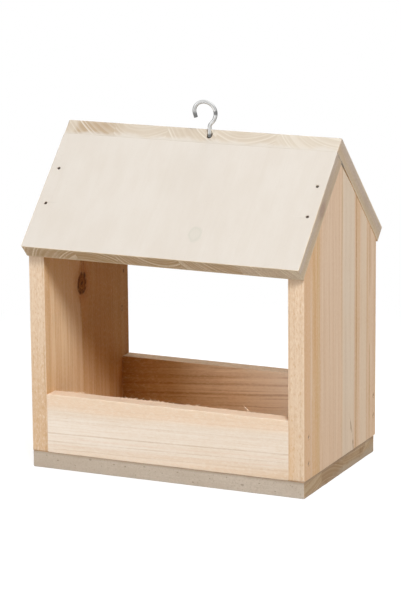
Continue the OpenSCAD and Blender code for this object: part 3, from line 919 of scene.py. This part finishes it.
for side, lean, seed in (("front", -1, 6), ("back", 1, 7)):
    low, high = np.array(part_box(side + "_roof_board"))
    out = HALF * (UPRIGHT + lean * ACROSS_Y)
    up = HALF * (UPRIGHT - lean * ACROSS_Y)
    level = -lean * ACROSS_X
    length = (high[2] - low[2]) / HALF - ROOF_THICK
    eave = np.array([0, high[1] if lean > 0 else low[1], low[2] + ROOF_THICK * HALF]) - ROOF_THICK * out
    roof = board(side + "_roof_visual", rectangle(low[0], 0, high[0], length), ROOF_THICK, eave,
                 (level, up, out), 0.14 * MM, seed)
    pits = [pit for end in ("left", "right")
            for pit in nail_pits(side + "_roof_nails_" + end, out, up, 30 * seed + len(end))]
    if side == "back":
        pits += nail_pits("ridge_nails", out, ACROSS_X, 97)
    cut_out(roof, pits + [hook_bore])
    turn = (45 * lean, 0, 90 * lean)
    wood, tree, place, colour, height, rough = pale_timber(
        "pale_stained_timber_" + side, turn, ROOF_DEEP, up, out, roof_staves[side], (3.3, 2.0), 12.0 + seed,
        ridge_colours if side == "back" else roof_colours)
    climb = place.axis("X")
    inside = turned_to(tree, -out) * climb.fade_out(150.0, 157.0)
    colour = laid(colour, inside, 0.75, paint(232, 188, 132))
    rubbed = arris_mask(tree) * climb.fade_out(110.0, 145.0)
    colour = laid(colour, rubbed, 0.4, roof_colours["worn"])
    if side == "front":
        ghost = use(knot, Place=place, Centre=(83.0, -22.0, 0.0), Radius=5.4, Squash=0.86)
        filled = (ghost["Rim"] * 0.5 + ghost["Core"] * 0.5) * facing(tree, out)
        colour = laid(colour, filled, 0.45, paint(186, 185, 172))
        bruise = use(knot, Place=edgewise(place), Centre=(115.0, -0.5, 0.0), Radius=2.6)
        bruise = bruise["Halo"] * facing(tree, ACROSS_X)
        colour = laid(colour, bruise, 0.4, paint(152, 118, 108))
    wood_surface(colour, height, rough, 0.05)
    roof.data.materials.append(wood)
    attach(roof, "house")
    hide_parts(side + "_roof_board")

# Nails
# Thin round wire nails, driven in and sunk a little below the wood, so only the dull heads show in their
# pits. Those into the rails are tarnished brown and full of wood dust.


def nail_finish(name, clean, dirty, metallic):
    """Dull dented steel that grime or dust covers in patches."""
    made, tree = material(name)
    grime = millimetres(tree).cloud((1.7, 1.7, 1.7), 3.0, 0.65)[0]
    colour = mixed(grime.fade(0.35, 0.65), clean, dirty)
    surface(colour, grime, 0.08, {"Roughness": grime.fade(0.3, 0.7, 0.45, 0.8), "Metallic": metallic})
    return made


dull_steel = nail_finish("dull_nail_steel", paint(92, 84, 78), paint(62, 46, 36), 0.6)
dusty_steel = nail_finish("dusty_nail_steel", paint(168, 128, 94), paint(130, 92, 62), 0.0)
for name, nail in frame["nodes"].items():
    if "nails" in name:
        nail.data.materials.clear()
        nail.data.materials.append(dusty_steel if "rail" in name else dull_steel)

# Screw hook
# Zinc-plated steel wire bent to an open loop, with a thread rolled on its lower end and turned into the ridge
# by hand. It can be turned about its stem, so it rides on its own body.
WIRE_R, LOOP_R, BACK_R, BEND_R = 1.4 * MM, 6.2 * MM, 8.8 * MM, 4.0 * MM
LOOP_SHIFT, LOOP_END, END_LEN = 4.5 * MM, math.radians(195), 3.1 * MM
POINT_Z, STEM_Z, BEND_Z = 224.59 * MM, 239.16 * MM, 245.05 * MM
BEND_TURN = math.acos((BEND_R + LOOP_SHIFT) / (BEND_R + BACK_R))
BACK_Z = BEND_Z + (BEND_R + BACK_R) * math.sin(BEND_TURN)
LOOP_Z = BACK_Z + BACK_R - LOOP_R
PITCH, THREAD_R, ROOT_R, END_R, TAPER = 1.5 * MM, 1.92 * MM, 1.25 * MM, 0.4 * MM, 4.4 * MM
HOOK_TURN = math.radians(25)


def hook_path():
    """The wire's middle line in the hook's own plane, aside and up, with its heading: a straight screw and
    stem, an arc to the right, a wide arc back up to the top, a tighter one down over the mouth, and a
    straight end whose last rings close it."""
    quarter = math.pi / 2
    thread = np.arange(POINT_Z, STEM_Z, PITCH / 14)
    climb = np.concatenate([thread, np.linspace(STEM_Z, BEND_Z, 12, endpoint=False)])
    straight = np.stack([0 * climb, climb, 0 * climb + quarter], 1)
    turn = np.linspace(math.pi, math.pi - BEND_TURN, 12, endpoint=False)
    bend = np.stack([BEND_R + BEND_R * np.cos(turn), BEND_Z + BEND_R * np.sin(turn), turn - quarter], 1)
    turn = np.linspace(-BEND_TURN, quarter, 60, endpoint=False)
    rear = np.stack([BACK_R * np.cos(turn) - LOOP_SHIFT, BACK_Z + BACK_R * np.sin(turn), turn + quarter], 1)
    turn = np.linspace(quarter, LOOP_END, 40)
    loop = np.stack([LOOP_R * np.cos(turn) - LOOP_SHIFT, LOOP_Z + LOOP_R * np.sin(turn), turn + quarter], 1)
    beyond = np.concatenate([np.linspace(0, END_LEN, 7)[1:], END_LEN + np.array([0.15, 0.28, 0.37]) * MM])
    end = loop[-1] + np.outer(beyond, [-math.sin(LOOP_END), math.cos(LOOP_END), 0])
    return np.concatenate([straight, bend, rear, loop, end])


# The thread is a crest that climbs one pitch a turn, thins to the point and runs out at the stem.
path = hook_path()
around = np.linspace(0, 2 * np.pi, 28, endpoint=False)
rise_up = (path[:, 1] - POINT_Z)[:, None]
wound = np.abs((around / (2 * np.pi) - rise_up / PITCH) % 1 - 0.5) * 2
CREST_SHARE = 0.62
crest = np.clip(1 - wound / CREST_SHARE, 0, 1)
fading = np.clip((STEM_Z - path[:, 1:2]) / PITCH + 0.2, 0, 1)
slim = np.clip((END_R + (THREAD_R - END_R) * rise_up / TAPER) / THREAD_R, 0, 1)
screw = slim * (ROOT_R + (THREAD_R - ROOT_R) * fading * crest)
radius = np.where((path[:, 1:2] < STEM_Z) & (np.abs(path[:, :1]) < 1e-9), screw, WIRE_R)
radius[-3:] *= np.array([0.97, 0.86, 0.66])[:, None]
aside = np.array([math.cos(HOOK_TURN), math.sin(HOOK_TURN), 0])
through = np.cross(UPRIGHT, aside)
normal = np.sin(path[:, 2:]) * aside - np.cos(path[:, 2:]) * UPRIGHT
wire = stem + path[:, :1] * aside + path[:, 1:2] * UPRIGHT
points = wire[:, None] + radius[..., None] * (np.cos(around)[:, None] * normal[:, None]
                                              + np.sin(around)[:, None] * through)
points = np.concatenate([points.reshape(-1, 3), wire[[0, -1]]])
screw_hook = piece_from("screw_hook_visual", points, *closed_grid(len(path), len(around)))
screw_hook.data.set_sharp_from_angle(angle=math.radians(40))
# How the wire was drawn: the place round it, and the length along it in millimetres.
run = np.concatenate([[0], np.cumsum(np.linalg.norm(np.diff(wire, axis=0), axis=1))]) / MM
drawn = np.stack(np.broadcast_arrays(np.cos(around), np.sin(around), run[:, None]), -1).reshape(-1, 3)
drawn = np.concatenate([drawn, [(0, 0, run[0]), (0, 0, run[-1])]])
lay = screw_hook.data.attributes.new("drawn", "FLOAT_VECTOR", "POINT")
lay.data.foreach_set("vector", drawn.ravel().astype(np.float32))

zinc, tree = material("zinc_plate")
dull = millimetres(tree).cloud((0.35, 0.35, 0.25), 2.0, 0.5)[0]
lay = node(tree, "Attribute", {}, attribute_name="drawn")["Vector"]
die_line = lay.cloud((1.6, 1.6, 0.12), 2.0)[0]
colour = mixed(die_line.fade(0.35, 0.65), paint(226, 226, 225), paint(190, 190, 189))
colour = laid(colour, dull.fade(0.4, 0.7), 0.2, paint(116, 115, 112))
# The plate is dark at the end, at the foot and in one rubbed patch.
reach = lay.axis("Z")
worn = reach.fade(54.0, 57.5) | reach.fade_out(15.0, 16.6) | abs(reach - 32.0).fade_out(0.7, 2.2)
colour = laid(colour, worn, 0.8, paint(92, 92, 91))
surface(colour, die_line, 0.01, {"Roughness": dull.fade(0.3, 0.7, 0.14, 0.24), "Metallic": 1.0})
screw_hook.data.materials.append(zinc)
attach(screw_hook, "hook")
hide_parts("screw_hook")

# Studio
# A pale paper floor in a white room, a soft key lamp high on the right, a fill from each side, a lamp above
# and a fill behind. Mirror rays miss the lamps and meet a modelled room of soft boxes instead.
LOOK_AT = np.array([0, 0, 0.12])
WHITE = (1, 1, 1, 1)


def direction(turn, rise=0.0):
    """Which way a place lies from the feeder, by its azimuth from the front and its elevation in radians."""
    return np.array([math.sin(turn) * math.cos(rise), -math.cos(turn) * math.cos(rise), math.sin(rise)])


def lamp(name, azimuth, elevation, distance, size, power):
    """A soft lamp of a given width and height, aimed at the middle of the feeder from a direction."""
    data = bpy.data.lights.new(name, "AREA")
    data.shape = "RECTANGLE"
    data.size, data.size_y = size
    data.energy = power
    made = placed(name, data)
    turn, rise = math.radians(azimuth), math.radians(elevation)
    made.location = LOOK_AT + distance * direction(turn, rise)
    made.rotation_euler = (math.pi / 2 - rise, 0, turn)
    made.visible_camera = False
    made.visible_glossy = False


lamp("key_lamp", 38.3, 46.0, 3.0, (0.66, 0.66), 70.5)
lamp("left_fill", -31, 15, 2.5, (0.9, 1.1), 25)
lamp("right_fill", 80, 12, 2.5, (1.2, 1.0), 13.6)
lamp("top_lamp", 183, 62, 2.6, (1.6, 1.2), 34)
lamp("back_fill", 235, 25, 2.6, (1.4, 1.2), 27)


def mirrored_room(towards):
    """What bright metal mirrors in a direction: a dim room, bright overhead, with tall soft boxes on the
    left, by the camera, on the right and behind the feeder, each by its azimuth and brightness."""
    level = (towards * (1, 1, 0)).step("NORMALIZE")
    shown = towards.step("NORMALIZE").axis("Z").fade(0.22, 0.6, 0.5, 1.3)
    for turn, bright in ((-31, 1.5), (25, 1.1), (80, 1.3), (205, 0.95)):
        side = tuple(direction(math.radians(turn)))
        shown = shown | level.dot(side).fade(0.86, 0.97, 0.0, bright)
    return shown


room = bpy.data.worlds.new("pale_room")
bpy.context.scene.world = room
tree = emptied(room)
rays = node(tree, "LightPath", {})
ROOM_GLOW = 0.03
shown = mirrored_room(node(tree, "TexCoord", {})["Generated"])
strength = rays["Is Glossy Ray"] * shown | ROOM_GLOW
seen = rays["Is Camera Ray"] | rays["Is Transmission Ray"]
backdrop = node(tree, "Background", {"Color": WHITE, "Strength": strength | seen})
node(tree, "OutputWorld", {"Surface": backdrop[0]})

FLOOR_HALF = 6.0
GAP = 0.2 * MM
sheet = bpy.data.meshes.new("studio_floor")
corners = rectangle(-FLOOR_HALF, -FLOOR_HALF, FLOOR_HALF, FLOOR_HALF)
sheet.from_pydata([(x, y, -GAP) for x, y in corners], [], [(0, 1, 2, 3)])
studio_floor = placed("studio_floor", sheet)
paper, tree = material("white_paper")
at = node(tree, "TexCoord", {})["Object"]
away = at.length()
rays = node(tree, "LightPath", {})
seen = rays["Is Camera Ray"] | rays["Is Transmission Ray"]
far = away.fade(0.2, 0.5) * seen
PAPER_GREY, PAPER_LIFT = 0.38, 0.72
lit = node(tree, "BsdfDiffuse", {"Color": (PAPER_GREY, PAPER_GREY, PAPER_GREY, 1)})[0]
lift = node(tree, "Emission", {"Strength": seen * PAPER_LIFT})[0]
near = node(tree, "AddShader", {0: lit, 1: lift})[0]
glow = node(tree, "Emission", {"Color": WHITE, "Strength": 1.0})[0]
both = node(tree, "MixShader", {0: far, 1: near, 2: glow})[0]
sheen = mirrored_room(at) | away.fade_out(0.15, 0.4)
mirror = node(tree, "Emission", {"Color": WHITE, "Strength": sheen})[0]
both = node(tree, "MixShader", {0: rays["Is Glossy Ray"], 1: both, 2: mirror})[0]
node(tree, "OutputMaterial", {"Surface": both})
sheet.materials.append(paper)

# Camera
# Stands where the photograph was taken from: to the right of the front, a little above and about two metres
# away. Its place and lens were fitted to the boards' corners, with the lens in pixels of the photo.
turn, rise, roll = np.radians([24.705, 12.975, -0.507])
distance = 2.1228
SENSOR = 36
LENS_PIXELS, PHOTO_HIGH = 2950.2, 601
back = direction(turn, rise)
right = np.array([math.cos(turn), math.sin(turn), 0])
up = np.cross(back, right)
aim = LOOK_AT - 0.00269 * right - 0.00209 * up
rolled = [right * math.cos(roll) + up * math.sin(roll), up * math.cos(roll) - right * math.sin(roll), back]
view = np.eye(4)
view[:3, :3] = np.stack(rolled, 1)
view[:3, 3] = aim + distance * back
lens = bpy.data.cameras.new("camera")
lens.sensor_width = SENSOR
lens.lens = LENS_PIXELS * SENSOR / PHOTO_HIGH
camera = placed("camera", lens)
camera.matrix_world = view.T.tolist()
bpy.context.scene.camera = camera

bpy.context.scene.view_settings.view_transform = "Standard"
